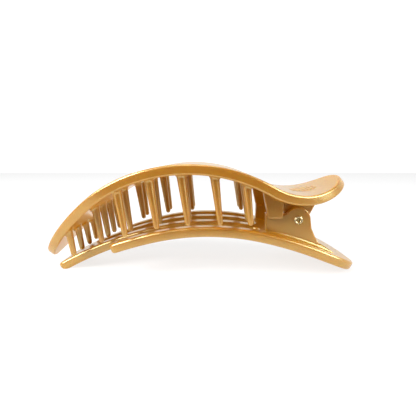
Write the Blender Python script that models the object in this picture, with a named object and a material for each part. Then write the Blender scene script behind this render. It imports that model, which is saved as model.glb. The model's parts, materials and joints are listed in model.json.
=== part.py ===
"""A large flat alligator hair clip: two arched plastic jaws on a hinge pin, held shut by a torsion spring.

Units are metres and +Z is up. X runs along the clip, from the biting end to the thumb tabs, and the
hinge axis lies along Y. The clip rests at Z = 0 on the end of its tongue and the end of its lower tab.

Each jaw is a plate cut to a flat outline and then bent along its length only. The flat plate is drawn
in plate coordinates: s along the bent centre line, y across it and h up from the middle of the wall.
"""

import math

import bmesh
import bpy
from mathutils import Matrix, Vector

MM = 0.001

# Hinge
HINGE = Vector((37.2, 0.0, 20.65)) * MM
HINGE_GAP = 0.15 * MM
PIN_RADIUS = 1.25 * MM
PIN_BORE = 0.8 * MM
PIN_POCKET = 1.6 * MM
PIN_HEAD_RADIUS = 1.6 * MM
PIN_HEAD = 0.4 * MM
BARREL_RADIUS = 4.6 * MM
BORE_OVERRUN = 1.6 * MM
ROUND_SIDES = 24
# The |y| span of each standing wall, then its corners in millimetres from the hinge axis, along X and Z
LOWER_LUG = (10.3 * MM, 12.8 * MM)
LOWER_EAR = (0.0, 172.0)
LOWER_LUG_FRONT = ((-6.2, 0.9), (-11.9, 2.6), (-11.9, -7.2))
LOWER_LUG_HEEL = ((9.6, -13.4), (9.2, -9.9), (7.8, -8.3), (6.4, -6.1), (5.1, -3.2))
UPPER_LUG = (7.4 * MM, 9.9 * MM)
UPPER_EAR = (-205.0, 5.0)
UPPER_LUG_ROOT = ((7.0, 5.4), (9.0, 8.5), (-7.0, 10.2), (-6.0, 6.0))
GUIDE = (13.2 * MM, 15.2 * MM)
GUIDE_FOOT = ((-11.4, 0.9), (-6.2, 0.9))
GUIDE_ROOT = ((-6.2, 10.0), (-14.2, 13.6))
GUIDE_CORNER = 1.0 * MM

# Upper jaw. A run of bends is a list of (length, radius); a negative radius curls upwards.
UPPER_WALL = 3.5 * MM
UPPER_APEX = Vector((-2.2, 0.0, 39.35)) * MM
UPPER_FRONT = ((38.0 * MM, 57.0 * MM), (45.0 * MM, 133.0 * MM))
UPPER_REAR = ((29.3 * MM, 57.0 * MM), (45.0 * MM, -26.0 * MM))
UPPER_HALF_WIDTH = 22.8 * MM
UPPER_NOSE = (-14.0 * MM, 56.5 * MM, 1.65)
UPPER_TAB = (18.0 * MM, 43.8 * MM, 2.15)
UPPER_EDGE = 0.5 * MM

# Teeth
TOOTH_ROWS = (
    # tip x, tip z, |y| of its two columns
    (-46.2 * MM, 6.65 * MM, (3.9 * MM, 11.6 * MM)),
    (-35.4 * MM, 11.85 * MM, (3.9 * MM, 11.6 * MM)),
    (-24.4 * MM, 16.15 * MM, (11.6 * MM, 19.4 * MM)),
    (-13.4 * MM, 18.85 * MM, (11.6 * MM, 19.4 * MM)),
    (-2.6 * MM, 20.05 * MM, (11.6 * MM, 19.4 * MM)),
    (8.5 * MM, 20.15 * MM, (11.6 * MM, 19.4 * MM)),
    (19.0 * MM, 20.05 * MM, (11.6 * MM, 19.4 * MM)),
)
TOOTH_LEAN = math.radians(7.2)
TOOTH_TIP_RADIUS = 0.95 * MM
TOOTH_TAPER = 0.037
TOOTH_SIDES = 8

# Lower jaw
LOWER_WALL = 3.6 * MM
LOWER_APEX = Vector((4.2, 0.0, 17.25)) * MM
LOWER_ARM = ((19.0 * MM, 89.0 * MM), (45.0 * MM, 139.0 * MM))
LOWER_EDGE = 0.7 * MM
LOWER_HALF_WIDTH = 18.0 * MM
LOWER_TAB = (38.0 * MM, 21.8 * MM, 2.5)
TONGUE_HALF_WIDTH = 8.0 * MM
TONGUE_END = -61.5 * MM
TONGUE_CORNER = 2.4 * MM
# The two side slots are open at the front, so each leaves a rail outside it that ends free
RAIL_END = -35.7 * MM
RAIL_INNER = 13.4 * MM
RAIL_CORNER = 2.0 * MM
SLOT_REAR = 18.5 * MM
SLOT_CORNER = 1.8 * MM
CENTRE_SLOT_HALF_WIDTH = 2.8 * MM
CENTRE_SLOT_FRONT = -44.0 * MM
BELOW_REST = Vector((150.0, 60.0, 5.0)) * MM

STATION = 4.0 * MM

# Spring
WIRE_RADIUS = 0.55 * MM
COIL_RADIUS = 2.5 * MM
COIL_TURNS = 6
COIL_PITCH = 1.3 * MM
# Each leg: its direction from +X, and its length
UPPER_LEG = (math.radians(60), 8.3 * MM)
LOWER_LEG = (math.radians(-62), 10.4 * MM)


def material(name, color, roughness, metallic):
    made = bpy.data.materials.new(name)
    made.use_nodes = True
    shader = made.node_tree.nodes["Principled BSDF"]
    shader.inputs["Base Color"].default_value = (*color, 1.0)
    shader.inputs["Roughness"].default_value = roughness
    shader.inputs["Metallic"].default_value = metallic
    made.diffuse_color = (*color, 1.0)
    return made


def object_from(name, bm, helper=False):
    """Turns a bmesh into an object; a helper only shapes another object and isn't part of the clip."""
    bmesh.ops.recalc_face_normals(bm, faces=bm.faces)
    mesh = bpy.data.meshes.new(name)
    bm.to_mesh(mesh)
    bm.free()
    made = bpy.data.objects.new(name, mesh)
    bpy.context.scene.collection.objects.link(made)
    if helper:
        made.hide_render = True
        made.display_type = "WIRE"
    return made


def finish(obj, look, sharp=40.0):
    obj.data.materials.append(look)
    obj.data.shade_smooth()
    obj.data.set_sharp_from_angle(angle=math.radians(sharp))


def bent_line(apex, front, rear):
    """The centre line of a bent plate: a function from s to its point and its slope angle there."""

    def at(s):
        x, z, angle = 0.0, 0.0, 0.0
        left = abs(s)
        side = 1.0 if s > 0 else -1.0
        for length, radius in rear if s > 0 else front:
            step = min(left, length)
            turned = angle + step / radius
            x += radius * (math.sin(turned) - math.sin(angle))
            z -= radius * (math.cos(angle) - math.cos(turned))
            angle = turned
            left -= step
            if left <= 0:
                break
        x += left * math.cos(angle)
        z -= left * math.sin(angle)
        return apex + Vector((side * x, 0.0, z)), side * angle

    return at


def rounded_end(start, length, exponent, half_width, toward, steps=10):
    """Points from one side of a plate round its end to the other: a superellipse, from +y to -y."""
    points = []
    for i in range(2 * steps + 1):
        a = math.pi * (0.5 - i / (2 * steps))
        along = abs(math.cos(a)) ** (2 / exponent)
        across = math.copysign(abs(math.sin(a)) ** (2 / exponent), math.sin(a))
        points.append((start + toward * length * along, half_width * across))
    return points


def fillet(corner, before, after, radius, steps=4):
    """Points of the arc that rounds one corner of an outline."""
    c, a, b = (Vector(p) for p in (corner, before, after))
    u, v = (a - c).normalized(), (b - c).normalized()
    half = u.angle(v) / 2
    centre = c + (u + v).normalized() * (radius / math.sin(half))
    touch = c + u * (radius / math.tan(half)) - centre
    turn = math.copysign(math.pi - 2 * half, u.cross(v))
    points = []
    for i in range(steps + 1):
        a = math.atan2(touch.y, touch.x) - turn * i / steps
        points.append((centre.x + radius * math.cos(a), centre.y + radius * math.sin(a)))
    return points


def rounded_polygon(corners):
    """An outline from (x, y, radius) corners; a corner with no radius stays sharp."""
    points = []
    for i, (x, y, radius) in enumerate(corners):
        before, after = corners[i - 1], corners[(i + 1) % len(corners)]
        if radius:
            points += fillet((x, y), before[:2], after[:2], radius)
        else:
            points.append((x, y))
    return points


def leave_only_cross_edges(bm):
    """Removes the edges inside a flat plate's two faces, except those that run straight across it."""
    bm.normal_update()
    inner = []
    for edge in bm.edges:
        flat = all(abs(face.normal.z) > 0.999 for face in edge.link_faces)
        across = abs(edge.verts[0].co.x - edge.verts[1].co.x) < 0.001 * MM
        if flat and not across:
            inner.append(edge)
    bmesh.ops.dissolve_edges(bm, edges=inner, use_verts=True)


def bent_plate(name, loops, wall, edge, line):
    """A plate with rounded edges: the first loop is its outline, the others are openings in it."""
    curve = bpy.data.curves.new(name, "CURVE")
    curve.dimensions = "2D"
    curve.fill_mode = "BOTH"
    curve.extrude = wall / 2 - edge
    curve.bevel_depth = edge
    curve.bevel_resolution = 0
    curve.offset = -edge
    for loop in loops:
        spline = curve.splines.new("POLY")
        spline.points.add(len(loop) - 1)
        for point, (s, y) in zip(spline.points, loop):
            point.co = (s, y, 0.0, 1.0)
        spline.use_cyclic_u = True
    drawn = bpy.data.objects.new(name + "_outline", curve)
    bpy.context.scene.collection.objects.link(drawn)
    mesh = bpy.data.meshes.new_from_object(drawn)
    bpy.data.objects.remove(drawn)
    bm = bmesh.new()
    bm.from_mesh(mesh)
    bpy.data.meshes.remove(mesh)
    bmesh.ops.remove_doubles(bm, verts=bm.verts, dist=0.001 * MM)
    low = min(v.co.x for v in bm.verts)
    high = max(v.co.x for v in bm.verts)
    for i in range(1, int((high - low) / STATION)):
        whole = bm.verts[:] + bm.edges[:] + bm.faces[:]
        cut = Vector((low + i * STATION, 0.0, 0.0))
        bmesh.ops.bisect_plane(bm, geom=whole, plane_co=cut, plane_no=(1, 0, 0), dist=0.02 * MM)
    leave_only_cross_edges(bm)
    for vert in bm.verts:
        point, angle = line(vert.co.x)
        normal = Vector((math.sin(angle), 0.0, math.cos(angle)))
        vert.co = point + Vector((0.0, vert.co.y, 0.0)) + normal * vert.co.z
    bmesh.ops.triangulate(bm, faces=bm.faces)
    return object_from(name, bm)


def add_wall(bm, outline, low, high):
    """A flat wall that stands in the XZ plane, from y = low to y = high."""
    near = [bm.verts.new((x, low, z)) for x, z in outline]
    far = [bm.verts.new((x, high, z)) for x, z in outline]
    bm.faces.new(near)
    bm.faces.new(reversed(far))
    for i in range(len(outline)):
        j = (i + 1) % len(outline)
        bm.faces.new((near[i], far[i], far[j], near[j]))


def add_both_sides(bm, outline, span):
    low, high = span
    add_wall(bm, outline, low, high)
    add_wall(bm, outline, -high, -low)


def cylinder_along_y(name, radius, half_length):
    bm = bmesh.new()
    place = Matrix.Translation(HINGE) @ Matrix.Rotation(math.radians(90), 4, "X")
    bmesh.ops.create_cone(
        bm,
        cap_ends=True,
        segments=ROUND_SIDES,
        radius1=radius,
        radius2=radius,
        depth=2 * half_length,
        matrix=place,
    )
    return object_from(name, bm, helper=True)


def combine(obj, other, operation):
    modifier = obj.modifiers.new(other.name, "BOOLEAN")
    modifier.operation = operation
    modifier.solver = "EXACT"
    modifier.object = other


def arc(centre, radius, first, last, steps):
    """Points on an arc in the XZ plane, with angles in degrees from +X towards +Z."""
    points = []
    for i in range(steps + 1):
        a = math.radians(first + (last - first) * i / steps)
        points.append((centre.x + radius * math.cos(a), centre.z + radius * math.sin(a)))
    return points


def point_under(line, x, wall):
    """Height of the middle of a plate's wall, near its underside, above or below a given x."""
    low, high = -80 * MM, 80 * MM
    for _ in range(40):
        middle = (low + high) / 2
        if line(middle)[0].x < x:
            low = middle
        else:
            high = middle
    return line(low)[0].z - wall / 4


def add_tooth(bm, tip, y, root_z):
    """A round tooth with a domed tip that leans forward going up and thickens towards its root."""
    direction = Vector((-math.sin(TOOTH_LEAN), 0.0, math.cos(TOOTH_LEAN)))
    side = Vector((0.0, 1.0, 0.0))
    front = direction.cross(side)
    length = (root_z - tip[1]) / direction.z
    start = Vector((tip[0], y, tip[1]))
    rings = [(0.0, 0.45), (0.3, 0.8), (1.0, 1.0)]
    levels = [(TOOTH_TIP_RADIUS * up, TOOTH_TIP_RADIUS * out) for up, out in rings]
    levels.append((length, TOOTH_TIP_RADIUS + TOOTH_TAPER * length))
    previous = None
    for up, radius in levels:
        ring = []
        for k in range(TOOTH_SIDES):
            a = 2 * math.pi * (k + 0.5) / TOOTH_SIDES
            offset = (front * math.cos(a) + side * math.sin(a)) * radius
            ring.append(bm.verts.new(start + direction * up + offset))
        if previous is None:
            bm.faces.new(ring)
        else:
            for k in range(TOOTH_SIDES):
                n = (k + 1) % TOOTH_SIDES
                bm.faces.new((previous[k], previous[n], ring[n], ring[k]))
        previous = ring
    bm.faces.new(previous)


def upper_outline():
    nose = rounded_end(*UPPER_NOSE, UPPER_HALF_WIDTH, -1.0)
    tab = rounded_end(*UPPER_TAB, UPPER_HALF_WIDTH, 1.0)
    return tab + nose[::-1]


def upper_teeth(line):
    bm = bmesh.new()
    for tip_x, tip_z, columns in TOOTH_ROWS:
        root_x = tip_x
        for _ in range(4):
            root_z = point_under(line, root_x, UPPER_WALL)
            root_x = tip_x - math.tan(TOOTH_LEAN) * (root_z - tip_z)
        for y in columns:
            add_tooth(bm, (tip_x, tip_z), y, root_z)
            add_tooth(bm, (tip_x, tip_z), -y, root_z)
    return object_from("upper_teeth", bm, helper=True)


def about_hinge(points):
    """Points given in millimetres from the hinge axis, along X and Z."""
    return [(HINGE.x + x * MM, HINGE.z + z * MM) for x, z in points]


def upper_hinge_walls():
    """The two inner hinge lugs, and the guide blocks that keep the lower lugs in line."""
    bm = bmesh.new()
    lug = arc(HINGE, BARREL_RADIUS, *UPPER_EAR, steps=14) + about_hinge(UPPER_LUG_ROOT)
    add_both_sides(bm, lug, UPPER_LUG)
    guide = [(x, z, GUIDE_CORNER) for x, z in about_hinge(GUIDE_FOOT)]
    guide += [(x, z, 0.0) for x, z in about_hinge(GUIDE_ROOT)]
    add_both_sides(bm, rounded_polygon(guide), GUIDE)
    return object_from("upper_hinge_walls", bm, helper=True)


def lower_outline():
    tab = rounded_end(*LOWER_TAB, LOWER_HALF_WIDTH, 1.0)
    corners = [
        (RAIL_END, -LOWER_HALF_WIDTH, RAIL_CORNER),
        (RAIL_END, -RAIL_INNER, RAIL_CORNER),
        (SLOT_REAR, -RAIL_INNER, SLOT_CORNER),
        (SLOT_REAR, -TONGUE_HALF_WIDTH, SLOT_CORNER),
        (TONGUE_END, -TONGUE_HALF_WIDTH, TONGUE_CORNER),
    ]
    corners += [(s, -y, radius) for s, y, radius in reversed(corners)]
    front = []
    for i, (s, y, radius) in enumerate(corners):
        before = corners[i - 1][:2] if i else (0.0, -LOWER_HALF_WIDTH)
        after = corners[i + 1][:2] if i < len(corners) - 1 else (0.0, LOWER_HALF_WIDTH)
        front += fillet((s, y), before, after, radius)
    return tab + front


def centre_slot():
    side = CENTRE_SLOT_HALF_WIDTH
    ends = ((CENTRE_SLOT_FRONT, -side), (SLOT_REAR, -side), (SLOT_REAR, side), (CENTRE_SLOT_FRONT, side))
    return rounded_polygon([(s, y, SLOT_CORNER) for s, y in ends])


def lower_hinge_walls():
    """The two outer hinge lugs: a rounded ear at the pin, a low wall ahead of it and a flared heel."""
    bm = bmesh.new()
    lug = arc(HINGE, BARREL_RADIUS, *LOWER_EAR, steps=12)
    lug += about_hinge(LOWER_LUG_FRONT + LOWER_LUG_HEEL)
    add_both_sides(bm, lug, LOWER_LUG)
    return object_from("lower_hinge_walls", bm, helper=True)


def below_rest_plane():
    """Everything under Z = 0, which leaves a small flat land under each end of the lower jaw."""
    bm = bmesh.new()
    place = Matrix.Translation((0.0, 0.0, -BELOW_REST.z / 2))
    bmesh.ops.create_cube(bm, size=1.0, matrix=place @ Matrix.Diagonal((*BELOW_REST, 1.0)))
    return object_from("below_rest_plane", bm, helper=True)


def upper_jaw(look):
    line = bent_line(UPPER_APEX, UPPER_FRONT, UPPER_REAR)
    jaw = bent_plate("upper_jaw", [upper_outline()], UPPER_WALL, UPPER_EDGE, line)
    combine(jaw, upper_teeth(line), "UNION")
    combine(jaw, upper_hinge_walls(), "UNION")
    combine(jaw, cylinder_along_y("upper_bore", PIN_RADIUS + HINGE_GAP, UPPER_LUG[1] + BORE_OVERRUN), "DIFFERENCE")
    finish(jaw, look)
    return jaw


def lower_jaw(look):
    line = bent_line(LOWER_APEX, LOWER_ARM, LOWER_ARM)
    jaw = bent_plate("lower_jaw", [lower_outline(), centre_slot()], LOWER_WALL, LOWER_EDGE, line)
    combine(jaw, lower_hinge_walls(), "UNION")
    combine(jaw, below_rest_plane(), "DIFFERENCE")
    combine(jaw, cylinder_along_y("lower_bore", PIN_RADIUS + HINGE_GAP, LOWER_LUG[1] + BORE_OVERRUN), "DIFFERENCE")
    finish(jaw, look)
    return jaw


def hinge_pin(look):
    """A semi-tubular rivet: a solid shank with a blind hole in each end, rolled out over the outer lugs."""
    outer = LOWER_LUG[1] + HINGE_GAP
    end = outer + PIN_HEAD
    profile = (
        (PIN_BORE, end - PIN_POCKET),
        (PIN_BORE, outer + PIN_HEAD * 0.6),
        (PIN_BORE + 0.3 * MM, end),
        (PIN_HEAD_RADIUS - 0.2 * MM, end),
        (PIN_HEAD_RADIUS, outer + PIN_HEAD * 0.5),
        (PIN_HEAD_RADIUS, outer),
        (PIN_RADIUS, outer),
    )
    profile = list(profile) + [(r, -y) for r, y in reversed(profile)]
    bm = bmesh.new()
    rings = []
    for radius, y in profile:
        ring = []
        for k in range(ROUND_SIDES):
            a = 2 * math.pi * k / ROUND_SIDES
            place = HINGE + Vector((radius * math.cos(a), y, radius * math.sin(a)))
            ring.append(bm.verts.new(place))
        rings.append(ring)
    for here, there in zip(rings, rings[1:]):
        for k in range(ROUND_SIDES):
            n = (k + 1) % ROUND_SIDES
            bm.faces.new((here[k], here[n], there[n], there[k]))
    bm.faces.new(rings[0])
    bm.faces.new(rings[-1])
    pin = object_from("hinge_pin", bm)
    finish(pin, look)
    return pin


def torsion_spring(look):
    """A coil round the pin whose two legs push the thumb tabs apart."""
    first = math.pi / 2 + LOWER_LEG[0]
    last = UPPER_LEG[0] - math.pi / 2 + 2 * math.pi * COIL_TURNS
    steps = 14 * COIL_TURNS
    half = COIL_TURNS * COIL_PITCH / 2
    path = []
    for i in range(steps + 1):
        a = first + (last - first) * i / steps
        path.append(Vector((math.cos(a), 0.0, math.sin(a))) * COIL_RADIUS)
        path[-1].y = half * (2 * i / steps - 1)
    lower = Vector((math.cos(LOWER_LEG[0]), 0.0, math.sin(LOWER_LEG[0]))) * LOWER_LEG[1]
    upper = Vector((math.cos(UPPER_LEG[0]), 0.0, math.sin(UPPER_LEG[0]))) * UPPER_LEG[1]
    path = [path[0] + lower, *path, path[-1] + upper]
    curve = bpy.data.curves.new("torsion_spring", "CURVE")
    curve.dimensions = "3D"
    curve.bevel_depth = WIRE_RADIUS
    curve.bevel_resolution = 1
    curve.use_fill_caps = True
    spline = curve.splines.new("POLY")
    spline.points.add(len(path) - 1)
    for point, place in zip(spline.points, path):
        point.co = (*place, 1.0)
    spring = bpy.data.objects.new("torsion_spring", curve)
    spring.location = HINGE
    bpy.context.scene.collection.objects.link(spring)
    curve.materials.append(look)
    return spring


def main():
    for obj in list(bpy.data.objects):
        bpy.data.objects.remove(obj)
    plastic = material("glossy_gold_plastic", (0.56, 0.31, 0.075), 0.28, 0.0)
    plated = material("plated_steel", (0.72, 0.66, 0.52), 0.25, 1.0)
    wire = material("spring_steel", (0.55, 0.55, 0.56), 0.3, 1.0)
    upper_jaw(plastic)
    lower_jaw(plastic)
    hinge_pin(plated)
    torsion_spring(wire)


main()
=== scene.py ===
"""Looks of the flat alligator hair clip: fine moulded jaws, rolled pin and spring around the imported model.

Everything is in metres in the part's own frame. X runs from the biting end to the thumb tabs, the hinge
axis lies along Y, and the clip rests on Z = 0. Each jaw is a flat plate bent along its length: s runs
along its bent centre line, y across it and h up from the middle of the wall.
"""

import json
import math

import bmesh
import bpy
from mathutils import Matrix, Vector


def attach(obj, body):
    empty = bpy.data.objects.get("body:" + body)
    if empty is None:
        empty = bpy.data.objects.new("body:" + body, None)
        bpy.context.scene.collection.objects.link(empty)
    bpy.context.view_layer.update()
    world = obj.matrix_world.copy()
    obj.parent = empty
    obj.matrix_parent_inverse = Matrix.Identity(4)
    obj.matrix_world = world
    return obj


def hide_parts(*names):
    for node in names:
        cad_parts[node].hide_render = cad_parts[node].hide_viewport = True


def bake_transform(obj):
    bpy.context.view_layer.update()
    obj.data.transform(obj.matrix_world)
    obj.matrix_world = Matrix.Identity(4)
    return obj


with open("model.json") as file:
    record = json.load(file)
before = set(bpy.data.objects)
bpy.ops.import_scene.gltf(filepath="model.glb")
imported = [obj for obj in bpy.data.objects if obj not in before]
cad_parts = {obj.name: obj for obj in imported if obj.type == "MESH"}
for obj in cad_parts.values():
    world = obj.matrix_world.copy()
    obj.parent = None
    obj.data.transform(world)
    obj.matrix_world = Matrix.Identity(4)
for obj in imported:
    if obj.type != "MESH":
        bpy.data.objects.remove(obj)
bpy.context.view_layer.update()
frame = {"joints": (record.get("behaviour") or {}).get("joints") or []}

MM = 0.001
HINGE = Vector(frame["joints"][0]["pos_m"])

# Hinge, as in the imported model
HINGE_GAP = 0.15 * MM
PIN_RADIUS = 1.25 * MM
PIN_BORE = 0.8 * MM
PIN_POCKET = 1.6 * MM
PIN_HEAD_RADIUS = 1.6 * MM
PIN_HEAD = 0.4 * MM
BARREL_RADIUS = 4.6 * MM
BORE_OVERRUN = 1.6 * MM
# Standing walls: a lug or guide is its |y| span, an ear is its first and last angle in degrees round the
# barrel, and the corners are in millimetres from the hinge axis, along X and Z
LOWER_LUG = (10.3 * MM, 12.8 * MM)
LOWER_EAR = (0.0, 150.0)
LOWER_LUG_FRONT = ((-5.2, 1.9), (-6.2, 1.2), (-7.6, 1.1), (-11.9, 2.6), (-11.9, -7.2))
LOWER_LUG_HEEL = (
    (13.6, -14.0),
    (13.2, -12.4),
    (10.2, -10.6),
    (8.6, -9.4),
    (7.2, -7.6),
    (6.2, -5.6),
    (5.1, -3.2),
)
UPPER_LUG = (7.4 * MM, 9.9 * MM)
UPPER_EAR = (-205.0, 5.0)
UPPER_LUG_ROOT = ((7.0, 5.4), (9.0, 8.5), (-7.0, 10.2), (-6.0, 6.0))
GUIDE = (13.2 * MM, 15.2 * MM)
GUIDE_FOOT = ((-11.4, 0.9), (-6.2, 0.9))
GUIDE_ROOT = ((-6.2, 10.0), (-14.2, 13.6))
GUIDE_CORNER = 1.0 * MM

# Upper jaw. A run of bends is a list of (length, radius); a negative radius curls upwards. An end is
# the s where it starts, its length and its superellipse exponent.
UPPER_WALL = 3.5 * MM
UPPER_APEX = Vector((-2.2, 0.0, 39.35)) * MM
UPPER_FRONT = ((38.0 * MM, 57.0 * MM), (45.0 * MM, 133.0 * MM))
UPPER_REAR = ((29.3 * MM, 57.0 * MM), (45.0 * MM, -26.0 * MM))
UPPER_HALF_WIDTH = 22.8 * MM
UPPER_NOSE = (-14.0 * MM, 56.5 * MM, 1.65)
UPPER_TAB = (18.0 * MM, 43.8 * MM, 2.15)
UPPER_EDGE = 0.8 * MM

# Teeth: tip x, tip z, |y| of the two columns of each row
TOOTH_ROWS = (
    (-46.2 * MM, 6.65 * MM, (3.9 * MM, 11.6 * MM)),
    (-35.4 * MM, 11.85 * MM, (3.9 * MM, 11.6 * MM)),
    (-24.4 * MM, 16.15 * MM, (11.6 * MM, 19.4 * MM)),
    (-13.4 * MM, 18.85 * MM, (11.6 * MM, 19.4 * MM)),
    (-2.6 * MM, 20.05 * MM, (11.6 * MM, 19.4 * MM)),
    (8.5 * MM, 20.15 * MM, (11.6 * MM, 19.4 * MM)),
    (19.0 * MM, 20.05 * MM, (11.6 * MM, 19.4 * MM)),
)
TOOTH_LEAN = math.radians(7.2)
TOOTH_TIP_RADIUS = 0.95 * MM
TOOTH_TAPER = 0.037
TOOTH_SIDES = 24
TOOTH_DOME_RINGS = 5
TOOTH_SHAFT_RINGS = 9
TOOTH_FLARE = 1.1 * MM
TOOTH_FLARE_SPREAD = 0.8
TOOTH_FLARE_TURN = math.radians(72)
TOOTH_FLARE_RINGS = 5
# How far a tooth's last free ring leans with the underside, from 0, square to the tooth, to 1
TOOTH_SKEW = 0.9
# How far a tooth's root runs on inside the wall, and how much wider it is there
TOOTH_BURY = 0.5 * MM
TOOTH_BURY_WIDER = 0.1 * MM

# Lower jaw
LOWER_WALL = 3.6 * MM
LOWER_APEX = Vector((4.2, 0.0, 17.25)) * MM
LOWER_ARM = ((19.0 * MM, 89.0 * MM), (45.0 * MM, 139.0 * MM))
LOWER_EDGE = 1.0 * MM
LOWER_HALF_WIDTH = 18.0 * MM
LOWER_TAB = (38.0 * MM, 21.8 * MM, 2.5)
TONGUE_HALF_WIDTH = 8.0 * MM
TONGUE_END = -61.5 * MM
TONGUE_CORNER = 2.4 * MM
# The two side slots are open at the front, so each leaves a rail outside it that ends free
RAIL_END = -35.7 * MM
RAIL_INNER = 13.4 * MM
RAIL_CORNER = 2.0 * MM
SLOT_REAR = 18.5 * MM
SLOT_CORNER = 1.8 * MM
CENTRE_SLOT_HALF_WIDTH = 2.8 * MM
CENTRE_SLOT_FRONT = -44.0 * MM
BELOW_REST = Vector((150.0, 60.0, 5.0)) * MM

# Grip ridges across the upper thumb tab: their middle, spacing, longest half length and section
GRIP_MIDDLE = 46.5 * MM
GRIP_PITCH = 1.5 * MM
GRIP_COUNT = 7
GRIP_HALF_LENGTH = 6.5 * MM
GRIP_HALF_WIDTH = 0.45 * MM
GRIP_HEIGHT = 0.3 * MM
GRIP_BURY = 0.3 * MM

# Hollow corners between the lower lugs and their plate
FILLET = 1.2 * MM
FILLET_BURY = 0.25 * MM
FILLET_SINK = 0.02 * MM
FILLET_STEP = 0.8 * MM

# Fineness of the moulded surfaces
WALL_EDGE = 0.35 * MM
STATION = 1.0 * MM
STATION_SNAP = 0.02 * MM
EDGE_STEPS = 4
ROUND_SIDES = 64
WELD = 0.001 * MM
JAW_SHARP_ANGLE = math.radians(32)
PIN_SHARP_ANGLE = math.radians(50)
WIRE_SHARP_ANGLE = math.radians(40)

# Spring: a leg is its angle from +X towards +Z, and its length
WIRE_RADIUS = 0.55 * MM
COIL_RADIUS = 2.5 * MM
COIL_TURNS = 6
COIL_PITCH = 1.3 * MM
COIL_HALF_LENGTH = COIL_TURNS * COIL_PITCH / 2
UPPER_LEG = (math.radians(60), 8.3 * MM)
LOWER_LEG = (math.radians(-62), 10.4 * MM)
COIL_STEPS_PER_TURN = 40

# Floor, in metres: it runs back from just in front of the clip
FLOOR_FRONT = -0.082
FLOOR_BACK = 0.7
FLOOR_HALF_WIDTH = 0.7
FLOOR_TONE = 0.22
FLOOR_GLOW = 0.75

# Room: how bright it is on the camera's side and behind the clip, and the Y part of a direction from
# which it is that bright
ROOM_FRONT = 0.08
ROOM_BACK = 1.25
ROOM_BACK_FROM = 0.5

# Lights: place in metres, diameter in metres, watts
LIGHT_TARGET = (0.0, 0.0, 0.02)
LIGHTS = {
    "left_box": ((-0.48, -0.34, 0.38), 0.45, 9.4),
    "right_box": ((0.55, -0.27, 0.28), 0.45, 4.8),
    "top_box": ((-0.05, -0.16, 0.70), 0.3, 1.5),
}

# Camera: its tilt in degrees below level, and its lens in millimetres on a 36 mm wide sensor
CAMERA_PLACE = Vector((4.2, -120.0, 43.55)) * MM
CAMERA_DOWN = 9.757
CAMERA_LENS = 25.96


# ---------------------------------------------------------------- outlines and plates


def bent_line(apex, front, rear):
    """The centre line of a bent plate: a function from s to its point and its slope angle there."""

    def at(s):
        x, z, angle = 0.0, 0.0, 0.0
        left = abs(s)
        side = 1.0 if s > 0 else -1.0
        for length, radius in rear if s > 0 else front:
            step = min(left, length)
            turned = angle + step / radius
            x += radius * (math.sin(turned) - math.sin(angle))
            z -= radius * (math.cos(angle) - math.cos(turned))
            angle = turned
            left -= step
            if left <= 0:
                break
        x += left * math.cos(angle)
        z -= left * math.sin(angle)
        return apex + Vector((side * x, 0.0, z)), side * angle

    return at


UPPER_LINE = bent_line(UPPER_APEX, UPPER_FRONT, UPPER_REAR)
LOWER_LINE = bent_line(LOWER_APEX, LOWER_ARM, LOWER_ARM)


def on_plate(line, s, y, h):
    """The point of a bent plate that has these plate coordinates."""
    point, angle = line(s)
    return point + Vector((h * math.sin(angle), y, h * math.cos(angle)))


def s_at(line, x, h):
    """The s of a plate's point at height h in its wall that has this x."""
    low, high = -0.08, 0.08
    for _ in range(40):
        middle = (low + high) / 2
        if on_plate(line, middle, 0.0, h).x < x:
            low = middle
        else:
            high = middle
    return low


def rounded_end(start, length, exponent, half_width, toward, steps=48):
    """Points from one side of a plate round its end to the other: a superellipse, from +y to -y."""
    points = []
    for i in range(2 * steps + 1):
        a = math.pi * (0.5 - i / (2 * steps))
        along = abs(math.cos(a)) ** (2 / exponent)
        across = math.copysign(abs(math.sin(a)) ** (2 / exponent), math.sin(a))
        points.append((start + toward * length * along, half_width * across))
    return points


def fillet(corner, before, after, radius, steps=8):
    """Points of the arc that rounds one corner of an outline."""
    c, a, b = (Vector(p) for p in (corner, before, after))
    u, v = (a - c).normalized(), (b - c).normalized()
    half = u.angle(v) / 2
    centre = c + (u + v).normalized() * (radius / math.sin(half))
    touch = c + u * (radius / math.tan(half)) - centre
    turn = math.copysign(math.pi - 2 * half, u.cross(v))
    points = []
    for i in range(steps + 1):
        a = math.atan2(touch.y, touch.x) - turn * i / steps
        points.append((centre.x + radius * math.cos(a), centre.y + radius * math.sin(a)))
    return points


def rounded_polygon(corners):
    """An outline from (x, y, radius) corners; a corner with no radius stays sharp."""
    points = []
    for i, (x, y, radius) in enumerate(corners):
        before, after = corners[i - 1], corners[(i + 1) % len(corners)]
        if radius:
            points += fillet((x, y), before[:2], after[:2], radius)
        else:
            points.append((x, y))
    return points


def bmesh_from(curve):
    """The welded surface of a curve, as a bmesh."""
    drawn = bpy.data.objects.new(curve.name, curve)
    bpy.context.scene.collection.objects.link(drawn)
    mesh = bpy.data.meshes.new_from_object(drawn)
    bpy.data.objects.remove(drawn)
    bm = bmesh.new()
    bm.from_mesh(mesh)
    bpy.data.meshes.remove(mesh)
    bmesh.ops.remove_doubles(bm, verts=bm.verts, dist=WELD)
    return bm


def flat_solid(loops, thickness, edge):
    """A flat plate with rounded edges in a bmesh: the first loop is its outline, the others are openings."""
    curve = bpy.data.curves.new("outline", "CURVE")
    curve.dimensions = "2D"
    curve.fill_mode = "BOTH"
    curve.extrude = thickness / 2 - edge
    curve.bevel_depth = edge
    curve.bevel_resolution = EDGE_STEPS
    curve.offset = -edge
    for loop in loops:
        spline = curve.splines.new("POLY")
        spline.points.add(len(loop) - 1)
        for point, (x, y) in zip(spline.points, loop):
            point.co = (x, y, 0.0, 1.0)
        spline.use_cyclic_u = True
    return bmesh_from(curve)


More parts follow.
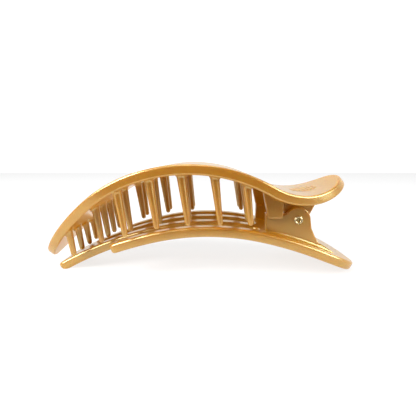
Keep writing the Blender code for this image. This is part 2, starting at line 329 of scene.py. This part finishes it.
def cut_stations(bm):
    """Cuts a flat plate across every STATION, and drops the other edges inside its two faces."""
    low = min(v.co.x for v in bm.verts)
    high = max(v.co.x for v in bm.verts)
    for i in range(1, int((high - low) / STATION)):
        whole = bm.verts[:] + bm.edges[:] + bm.faces[:]
        cut = Vector((low + i * STATION, 0.0, 0.0))
        bmesh.ops.bisect_plane(bm, geom=whole, plane_co=cut, plane_no=(1, 0, 0), dist=STATION_SNAP)
    bm.normal_update()
    inner = []
    for edge in bm.edges:
        flat = all(abs(face.normal.z) > 0.9999 for face in edge.link_faces)
        across = abs(edge.verts[0].co.x - edge.verts[1].co.x) < WELD
        if flat and not across:
            inner.append(edge)
    bmesh.ops.dissolve_edges(bm, edges=inner, use_verts=True)


def bent_plate(name, loops, wall, edge, line):
    bm = flat_solid(loops, wall, edge)
    cut_stations(bm)
    for vert in bm.verts:
        vert.co = on_plate(line, *vert.co)
    bmesh.ops.triangulate(bm, faces=bm.faces)
    return object_from(name, bm)


def object_from(name, bm):
    bmesh.ops.recalc_face_normals(bm, faces=bm.faces)
    mesh = bpy.data.meshes.new(name)
    bm.to_mesh(mesh)
    bm.free()
    made = bpy.data.objects.new(name, mesh)
    bpy.context.scene.collection.objects.link(made)
    return made


def standing_wall(outline, low, high):
    """A wall with rounded edges that stands in the XZ plane, from y = low to y = high."""
    bm = flat_solid([outline], high - low, WALL_EDGE)
    middle = (low + high) / 2
    for vert in bm.verts:
        x, z, across = vert.co
        vert.co = (x, middle + across, z)
    bmesh.ops.triangulate(bm, faces=bm.faces)
    return object_from("wall", bm)


def both_walls(outline, span):
    low, high = span
    return [standing_wall(outline, low, high), standing_wall(outline, -high, -low)]


def about_hinge(points):
    """Points given in millimetres from the hinge axis, along X and Z."""
    return [(HINGE.x + x * MM, HINGE.z + z * MM) for x, z in points]


def barrel(first, last, steps):
    """Points round the hinge barrel, with angles in degrees from +X towards +Z."""
    points = []
    for i in range(steps + 1):
        a = math.radians(first + (last - first) * i / steps)
        points.append((HINGE.x + BARREL_RADIUS * math.cos(a), HINGE.z + BARREL_RADIUS * math.sin(a)))
    return points


def strip(sections):
    """A closed body that joins cross-sections with equal numbers of points."""
    bm = bmesh.new()
    rings = [[bm.verts.new(p) for p in section] for section in sections]
    for here, there in zip(rings, rings[1:]):
        for i in range(len(here)):
            j = (i + 1) % len(here)
            bm.faces.new((here[i], here[j], there[j], there[i]))
    bm.faces.new(rings[0])
    bm.faces.new(list(reversed(rings[-1])))
    return bm


def root_fillet(line, face_h, y, toward, s_from, s_to, radius):
    """The hollow corner between a standing wall's face at y and the top of a plate, at height face_h."""
    sections = []
    steps = max(4, int((s_to - s_from) / FILLET_STEP))
    for i in range(steps + 1):
        t = i / steps
        fade = min(1.0, 4.0 * min(t, 1 - t))
        r = radius * (0.12 + 0.88 * math.sin(fade * math.pi / 2))
        s = s_from + (s_to - s_from) * t
        profile = [(-FILLET_BURY, -FILLET_BURY)]
        for k in range(7):
            a = math.pi / 2 * k / 6
            profile.append((r * (1 - math.sin(a)) - FILLET_SINK, r * (1 - math.cos(a)) - FILLET_SINK))
        sections.append([on_plate(line, s, y + toward * a, face_h + b) for a, b in profile])
    return object_from("root_fillet", strip(sections))


def cylinder_along_y(radius, half_length):
    bm = bmesh.new()
    place = Matrix.Translation(HINGE) @ Matrix.Rotation(math.radians(90), 4, "X")
    round_bar = {"segments": ROUND_SIDES, "radius1": radius, "radius2": radius, "depth": 2 * half_length}
    bmesh.ops.create_cone(bm, cap_ends=True, matrix=place, **round_bar)
    return object_from("bore", bm)


def combine(obj, helpers, operation):
    """Applies Booleans one after another, and removes the helper objects."""
    for helper in helpers:
        modifier = obj.modifiers.new(helper.name, "BOOLEAN")
        modifier.operation = operation
        modifier.solver = "MANIFOLD"
        modifier.object = helper
    bpy.context.view_layer.update()
    mesh = bpy.data.meshes.new_from_object(obj.evaluated_get(bpy.context.evaluated_depsgraph_get()))
    obj.modifiers.clear()
    old, obj.data = obj.data, mesh
    bpy.data.meshes.remove(old)
    for helper in helpers:
        bpy.data.objects.remove(helper)


def finish_moulding(obj, look):
    obj.data.materials.clear()
    obj.data.materials.append(look)
    obj.data.shade_smooth()
    obj.data.set_sharp_from_angle(angle=JAW_SHARP_ANGLE)
    weighted = obj.modifiers.new("even_shading", "WEIGHTED_NORMAL")
    weighted.keep_sharp = True


# ---------------------------------------------------------------- upper jaw


def upper_outline():
    nose = rounded_end(*UPPER_NOSE, UPPER_HALF_WIDTH, -1.0)
    tab = rounded_end(*UPPER_TAB, UPPER_HALF_WIDTH, 1.0)
    return tab + nose[::-1]


def reach(start, direction):
    """How far a line in the XZ plane runs from start to the upper plate's underside."""
    low, high = -0.08, 0.08
    for _ in range(36):
        middle = (low + high) / 2
        away = on_plate(UPPER_LINE, middle, 0.0, -UPPER_WALL / 2) - start
        if away.x * direction.z - away.z * direction.x < 0:
            low = middle
        else:
            high = middle
    return (on_plate(UPPER_LINE, low, 0.0, -UPPER_WALL / 2) - start).dot(direction)


def tooth_profile(length):
    """A tooth's (height, radius) pairs: the free part up from its tip, then the root down from the wall."""
    free = []
    for k in range(TOOTH_DOME_RINGS):
        a = math.pi / 2 * (k + 0.5) / TOOTH_DOME_RINGS
        free.append((TOOTH_TIP_RADIUS * (1 - math.cos(a)), TOOTH_TIP_RADIUS * math.sin(a)))
    straight = length - TOOTH_FLARE - TOOTH_TIP_RADIUS
    for k in range(TOOTH_SHAFT_RINGS):
        up = TOOTH_TIP_RADIUS + straight * k / (TOOTH_SHAFT_RINGS - 1)
        free.append((up, TOOTH_TIP_RADIUS + TOOTH_TAPER * up))
    root = TOOTH_TIP_RADIUS + TOOTH_TAPER * length
    flare = []
    for k in range(1, TOOTH_FLARE_RINGS + 1):
        a = TOOTH_FLARE_TURN * k / TOOTH_FLARE_RINGS
        wider = TOOTH_FLARE * TOOTH_FLARE_SPREAD * (1 - math.cos(a))
        flare.append((TOOTH_FLARE * (1 - math.sin(a)), root + wider))
    flare.append((-TOOTH_BURY, flare[-1][1] + TOOTH_BURY_WIDER))
    return free, flare


def tooth_rings(tip_x, tip_z):
    """Rings of points from a tooth's domed tip to inside the plate; its root flares into the underside."""
    direction = Vector((-math.sin(TOOTH_LEAN), 0.0, math.cos(TOOTH_LEAN)))
    side = Vector((0.0, 1.0, 0.0))
    front = direction.cross(side)
    start = Vector((tip_x, 0.0, tip_z))
    length = reach(start, direction)
    free, flare = tooth_profile(length)
    around = []
    for k in range(TOOTH_SIDES):
        a = 2 * math.pi * (k + 0.5) / TOOTH_SIDES
        around.append(front * math.cos(a) + side * math.sin(a))
    straight = length - TOOTH_FLARE - TOOTH_TIP_RADIUS
    rings = []
    for up, radius in free:
        share = TOOTH_SKEW * max(0.0, (up - TOOTH_TIP_RADIUS) / straight) ** 2
        ring = []
        for outward in around:
            foot = start + outward * radius
            ring.append(foot + direction * (up + share * (reach(foot, direction) - length)))
        rings.append(ring)
    for below, radius in flare:
        ring = []
        for outward in around:
            foot = start + outward * radius
            ring.append(foot + direction * (reach(foot, direction) - below))
        rings.append(ring)
    return rings


def add_tooth(bm, rings, y):
    previous = None
    for points in rings:
        ring = [bm.verts.new(p + Vector((0.0, y, 0.0))) for p in points]
        if previous is None:
            bm.faces.new(ring)
        else:
            for k in range(TOOTH_SIDES):
                n = (k + 1) % TOOTH_SIDES
                bm.faces.new((previous[k], previous[n], ring[n], ring[k]))
        previous = ring
    bm.faces.new(previous)


def teeth():
    bm = bmesh.new()
    for tip_x, tip_z, columns in TOOTH_ROWS:
        rings = tooth_rings(tip_x, tip_z)
        for y in columns:
            add_tooth(bm, rings, y)
            add_tooth(bm, rings, -y)
    return object_from("teeth", bm)


def upper_walls():
    """The two inner hinge lugs, and the guide blocks that keep the lower lugs in line."""
    lug = barrel(*UPPER_EAR, steps=42) + about_hinge(UPPER_LUG_ROOT)
    guide = [(x, z, GUIDE_CORNER) for x, z in about_hinge(GUIDE_FOOT)]
    guide += [(x, z, 0.0) for x, z in about_hinge(GUIDE_ROOT)]
    return both_walls(lug, UPPER_LUG) + both_walls(rounded_polygon(guide), GUIDE)


def grip_ridges():
    """Low round ridges across the thumb tab, longest in the middle, where the clip is pressed."""
    made = []
    top = UPPER_WALL / 2
    for i in range(GRIP_COUNT):
        out = 2 * i / (GRIP_COUNT - 1) - 1
        s = GRIP_MIDDLE + (i - (GRIP_COUNT - 1) / 2) * GRIP_PITCH
        half = GRIP_HALF_LENGTH * math.sqrt(1 - 0.8 * out * out)
        sections = []
        for k in range(25):
            along = 2 * k / 24 - 1
            size = math.sqrt(max(0.004, 1 - along**6))
            turns = [math.pi * n / 8 for n in range(9)]
            section = [(GRIP_HALF_WIDTH * math.cos(a), GRIP_HEIGHT * size * math.sin(a)) for a in turns]
            section += [(-GRIP_HALF_WIDTH, -GRIP_BURY), (GRIP_HALF_WIDTH, -GRIP_BURY)]
            sections.append([on_plate(UPPER_LINE, s + a, half * along, top + b) for a, b in section])
        made.append(object_from("grip_ridge", strip(sections)))
    return made


def upper_jaw(look):
    jaw = bent_plate("upper_jaw_moulding", [upper_outline()], UPPER_WALL, UPPER_EDGE, UPPER_LINE)
    combine(jaw, [teeth()] + upper_walls() + grip_ridges(), "UNION")
    combine(jaw, [cylinder_along_y(PIN_RADIUS + HINGE_GAP, UPPER_LUG[1] + BORE_OVERRUN)], "DIFFERENCE")
    finish_moulding(jaw, look)
    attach(jaw, "upper")
    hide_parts("upper_jaw")


# ---------------------------------------------------------------- lower jaw


def lower_outline():
    tab = rounded_end(*LOWER_TAB, LOWER_HALF_WIDTH, 1.0)
    corners = [
        (RAIL_END, -LOWER_HALF_WIDTH, RAIL_CORNER),
        (RAIL_END, -RAIL_INNER, RAIL_CORNER),
        (SLOT_REAR, -RAIL_INNER, SLOT_CORNER),
        (SLOT_REAR, -TONGUE_HALF_WIDTH, SLOT_CORNER),
        (TONGUE_END, -TONGUE_HALF_WIDTH, TONGUE_CORNER),
    ]
    corners += [(s, -y, radius) for s, y, radius in reversed(corners)]
    front = []
    for i, (s, y, radius) in enumerate(corners):
        before = corners[i - 1][:2] if i else (0.0, -LOWER_HALF_WIDTH)
        after = corners[i + 1][:2] if i < len(corners) - 1 else (0.0, LOWER_HALF_WIDTH)
        front += fillet((s, y), before, after, radius)
    return tab + front


def centre_slot():
    side = CENTRE_SLOT_HALF_WIDTH
    ends = ((CENTRE_SLOT_FRONT, -side), (SLOT_REAR, -side), (SLOT_REAR, side), (CENTRE_SLOT_FRONT, side))
    return rounded_polygon([(s, y, SLOT_CORNER) for s, y in ends])


def lower_walls():
    """The two outer hinge lugs: a rounded ear at the pin, a low wall ahead of it and a flared heel."""
    lug = barrel(*LOWER_EAR, steps=36) + about_hinge(LOWER_LUG_FRONT + LOWER_LUG_HEEL)
    return both_walls(lug, LOWER_LUG)


def lower_root_fillets():
    top = LOWER_WALL / 2
    s_from = s_at(LOWER_LINE, HINGE.x + LOWER_LUG_FRONT[-1][0] * MM, top)
    s_to = s_at(LOWER_LINE, HINGE.x + LOWER_LUG_HEEL[0][0] * MM, top)
    made = []
    for side in (1, -1):
        for y, toward in ((LOWER_LUG[1], 1), (LOWER_LUG[0], -1)):
            made.append(root_fillet(LOWER_LINE, top, side * y, side * toward, s_from, s_to, FILLET))
    return made


def below_rest_plane():
    bm = bmesh.new()
    place = Matrix.Translation((0.0, 0.0, -BELOW_REST.z / 2))
    bmesh.ops.create_cube(bm, size=1.0, matrix=place @ Matrix.Diagonal((*BELOW_REST, 1.0)))
    return object_from("below_rest_plane", bm)


def lower_jaw(look):
    loops = [lower_outline(), centre_slot()]
    jaw = bent_plate("lower_jaw_moulding", loops, LOWER_WALL, LOWER_EDGE, LOWER_LINE)
    combine(jaw, lower_walls() + lower_root_fillets(), "UNION")
    bore = cylinder_along_y(PIN_RADIUS + HINGE_GAP, LOWER_LUG[1] + BORE_OVERRUN)
    combine(jaw, [below_rest_plane(), bore], "DIFFERENCE")
    finish_moulding(jaw, look)
    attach(jaw, "lower")
    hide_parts("lower_jaw")


# ---------------------------------------------------------------- pin and spring


def rivet(look):
    """A semi-tubular rivet: a blind hole in each end, rolled out into a round lip over the outer lugs."""
    outer = LOWER_LUG[1] + HINGE_GAP
    lip = (PIN_HEAD_RADIUS - PIN_BORE) / 2
    floor_y = outer + PIN_HEAD - PIN_POCKET
    profile = [
        (0.25 * PIN_BORE, floor_y - 0.3 * MM),
        (0.9 * PIN_BORE, floor_y),
        (PIN_BORE, floor_y + 0.2 * MM),
    ]
    for k in range(13):
        a = math.pi * (1 - k / 12)
        profile.append((PIN_BORE + lip + lip * math.cos(a), outer + PIN_HEAD * math.sin(a)))
    profile.append((PIN_RADIUS, outer))
    profile += [(r, -y) for r, y in reversed(profile)]
    sections = []
    for radius, y in profile:
        around = [2 * math.pi * k / ROUND_SIDES for k in range(ROUND_SIDES)]
        sections.append([HINGE + Vector((radius * math.cos(a), y, radius * math.sin(a))) for a in around])
    pin = object_from("rolled_rivet", strip(sections))
    pin.data.materials.append(look)
    pin.data.shade_smooth()
    pin.data.set_sharp_from_angle(angle=PIN_SHARP_ANGLE)
    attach(pin, "lower")
    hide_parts("hinge_pin")


def spring_path():
    """Points along the wire from the hinge axis: the low-y leg, the coil round the pin, the high-y leg."""
    first = math.pi / 2 + LOWER_LEG[0]
    last = UPPER_LEG[0] - math.pi / 2 + 2 * math.pi * COIL_TURNS
    steps = COIL_STEPS_PER_TURN * COIL_TURNS
    path = []
    for i in range(steps + 1):
        a = first + (last - first) * i / steps
        path.append(Vector((math.cos(a), 0.0, math.sin(a))) * COIL_RADIUS)
        path[-1].y = COIL_HALF_LENGTH * (2 * i / steps - 1)
    lower, upper = (
        Vector((math.cos(angle), 0.0, math.sin(angle))) * length for angle, length in (LOWER_LEG, UPPER_LEG)
    )
    return [path[0] + lower, *path, path[-1] + upper]


def wire_along(path):
    """A bmesh of round wire with closed ends along points given from the hinge axis."""
    curve = bpy.data.curves.new("coil_path", "CURVE")
    curve.dimensions = "3D"
    curve.bevel_depth = WIRE_RADIUS
    curve.bevel_resolution = 4
    curve.use_fill_caps = True
    spline = curve.splines.new("POLY")
    spline.points.add(len(path) - 1)
    for point, place in zip(spline.points, path):
        point.co = (*(HINGE + place), 1.0)
    return bmesh_from(curve)


def spring(look):
    """The torsion spring. Its low-y leg presses on the lower jaw and its high-y leg on the upper."""
    wire = object_from("spring_wire", wire_along(spring_path()))
    wire.data.materials.clear()
    wire.data.materials.append(look)
    wire.data.shade_smooth()
    wire.data.set_sharp_from_angle(angle=WIRE_SHARP_ANGLE)
    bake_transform(wire)
    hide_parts("torsion_spring")


# ---------------------------------------------------------------- materials


def fill(tree, made, inputs):
    """Links or sets a node's inputs by name."""
    for name, value in inputs.items():
        if isinstance(value, bpy.types.NodeSocket):
            tree.links.new(value, made.inputs[name])
        else:
            made.inputs[name].default_value = value


def node(tree, kind, inputs=None, **settings):
    made = tree.nodes.new(kind)
    for name, value in settings.items():
        setattr(made, name, value)
    fill(tree, made, inputs or {})
    return made


def noise(tree, scale, detail):
    place = node(tree, "ShaderNodeTexCoord").outputs["Object"]
    grain = {"Vector": place, "Scale": scale, "Detail": detail}
    return node(tree, "ShaderNodeTexNoise", grain).outputs["Fac"]


def spread(tree, value, low, high, start=0.3, end=0.7):
    """Runs from low to high as the value runs from start to end."""
    limits = {"Value": value, "From Min": start, "From Max": end, "To Min": low, "To Max": high}
    return node(tree, "ShaderNodeMapRange", limits).outputs["Result"]


def colour_between(tree, share, first, second):
    mixed = node(tree, "ShaderNodeMix", {"Factor": share}, data_type="RGBA")
    fill(tree, mixed, {"A": (*first, 1.0), "B": (*second, 1.0)})
    return mixed.outputs["Result"]


def mix_shaders(tree, share, first, second):
    mixed = node(tree, "ShaderNodeMixShader", {"Fac": share})
    tree.links.new(first, mixed.inputs[1])
    tree.links.new(second, mixed.inputs[2])
    return mixed.outputs["Shader"]


def new_material(name):
    made = bpy.data.materials.new(name)
    made.use_nodes = True
    return made, made.node_tree, made.node_tree.nodes["Principled BSDF"]


def amber_body(tree, shader, normal):
    """Translucent amber plastic that light passes through, under a skin that shines most at a slant."""
    facing = node(tree, "ShaderNodeLayerWeight").outputs["Facing"]
    cloudy = colour_between(tree, noise(tree, 90.0, 2.0), (0.32, 0.128, 0.004), (0.40, 0.172, 0.006))
    amber = {
        "Base Color": cloudy,
        "Normal": normal,
        "Roughness": 0.3,
        "Specular IOR Level": 0.1,
        "Subsurface Weight": 0.75,
        "Subsurface Radius": (1.0, 0.5, 0.08),
        "Subsurface Scale": 3.5 * MM,
        "Coat Weight": spread(tree, facing, 0.15, 0.9, start=0.3, end=0.9),
        "Coat Roughness": 0.12,
    }
    fill(tree, shader, amber)
    glow = node(tree, "ShaderNodeBsdfTranslucent", {"Color": (0.90, 0.54, 0.05, 1.0), "Normal": normal})
    return mix_shaders(tree, 0.42, shader.outputs["BSDF"], glow.outputs["BSDF"])


def pearl_plastic():
    """Translucent amber plastic, full of fine gold pearl flakes."""
    made, tree, shader = new_material("pearl_gold_plastic")
    flake = noise(tree, 3600.0, 2.0)
    bump = node(tree, "ShaderNodeBump", {"Height": flake, "Strength": 0.04, "Distance": 0.1 * MM})
    normal = bump.outputs["Normal"]
    gold = {"Base Color": (0.91, 0.84, 0.42, 1.0), "Metallic": 1.0, "Roughness": 0.3, "Normal": normal}
    pearl = node(tree, "ShaderNodeBsdfPrincipled", gold).outputs["BSDF"]
    surface = mix_shaders(tree, spread(tree, flake, 0.18, 0.30), amber_body(tree, shader, normal), pearl)
    fill(tree, tree.nodes["Material Output"], {"Surface": surface})
    return made


def plated_metal():
    """Bright plating, slightly uneven in its polish."""
    made, tree, shader = new_material("plated_metal")
    polish = spread(tree, noise(tree, 3000.0, 3.0), 0.2, 0.36)
    fill(tree, shader, {"Base Color": (0.66, 0.54, 0.32, 1.0), "Metallic": 1.0, "Roughness": polish})
    return made


def spring_steel():
    """Bare drawn wire, mottled grey."""
    made, tree, shader = new_material("drawn_spring_steel")
    grey = colour_between(tree, noise(tree, 2000.0, 4.0), (0.40, 0.40, 0.41), (0.62, 0.62, 0.62))
    fill(tree, shader, {"Base Color": grey, "Metallic": 1.0, "Roughness": 0.28})
    return made


def floor_white():
    """A light-table top: matt white with its own glow, so shadows on it stay pale."""
    made, tree, shader = new_material("floor_white")
    tone = (FLOOR_TONE, FLOOR_TONE, FLOOR_TONE, 1.0)
    fill(tree, shader, {"Base Color": tone, "Roughness": 1.0, "Specular IOR Level": 0.0})
    fill(tree, shader, {"Emission Color": (1.0, 1.0, 1.0, 1.0), "Emission Strength": FLOOR_GLOW})
    return made


# ---------------------------------------------------------------- stage, lights and camera


def floor():
    """A light table whose near edge is in front of the clip, just out of the camera's sight."""
    bm = bmesh.new()
    corners = ((-1, FLOOR_FRONT), (1, FLOOR_FRONT), (1, FLOOR_BACK), (-1, FLOOR_BACK))
    bm.faces.new([bm.verts.new((side * FLOOR_HALF_WIDTH, y, 0.0)) for side, y in corners])
    made = object_from("floor", bm)
    made.data.materials.append(floor_white())


def area_light(name, place, size, power):
    data = bpy.data.lights.new(name, "AREA")
    data.shape = "DISK"
    data.size = size
    data.energy = power
    light = bpy.data.objects.new(name, data)
    light.location = place
    light.rotation_euler = (Vector(LIGHT_TARGET) - Vector(place)).to_track_quat("-Z", "Y").to_euler()
    bpy.context.scene.collection.objects.link(light)


def studio():
    """A bright sweep of backdrop behind the clip, a dimmer room in front and soft boxes overhead."""
    world = bpy.data.worlds.new("studio")
    world.use_nodes = True
    tree = world.node_tree
    direction = node(tree, "ShaderNodeTexCoord").outputs["Generated"]
    parts = node(tree, "ShaderNodeSeparateXYZ", {"Vector": direction})
    behind = {"Value": parts.outputs["Y"], "From Min": 0.0, "From Max": ROOM_BACK_FROM}
    behind |= {"To Min": ROOM_FRONT, "To Max": ROOM_BACK}
    bright = node(tree, "ShaderNodeMapRange", behind, interpolation_type="SMOOTHSTEP")
    white = {"Color": (1.0, 1.0, 1.0, 1.0), "Strength": bright.outputs["Result"]}
    fill(tree, tree.nodes["Background"], white)
    bpy.context.scene.world = world
    for name, (place, size, power) in LIGHTS.items():
        area_light(name, place, size, power)
    bpy.context.scene.view_settings.view_transform = "Standard"


def camera():
    data = bpy.data.cameras.new("camera")
    data.sensor_width = 36.0
    data.lens = CAMERA_LENS
    data.clip_start = 0.005
    made = bpy.data.objects.new("camera", data)
    made.location = CAMERA_PLACE
    made.rotation_euler = (math.radians(90.0 - CAMERA_DOWN), 0.0, 0.0)
    bpy.context.scene.collection.objects.link(made)
    bpy.context.scene.camera = made


gold = pearl_plastic()
upper_jaw(gold)
lower_jaw(gold)
rivet(plated_metal())
spring(spring_steel())
floor()
studio()
camera()
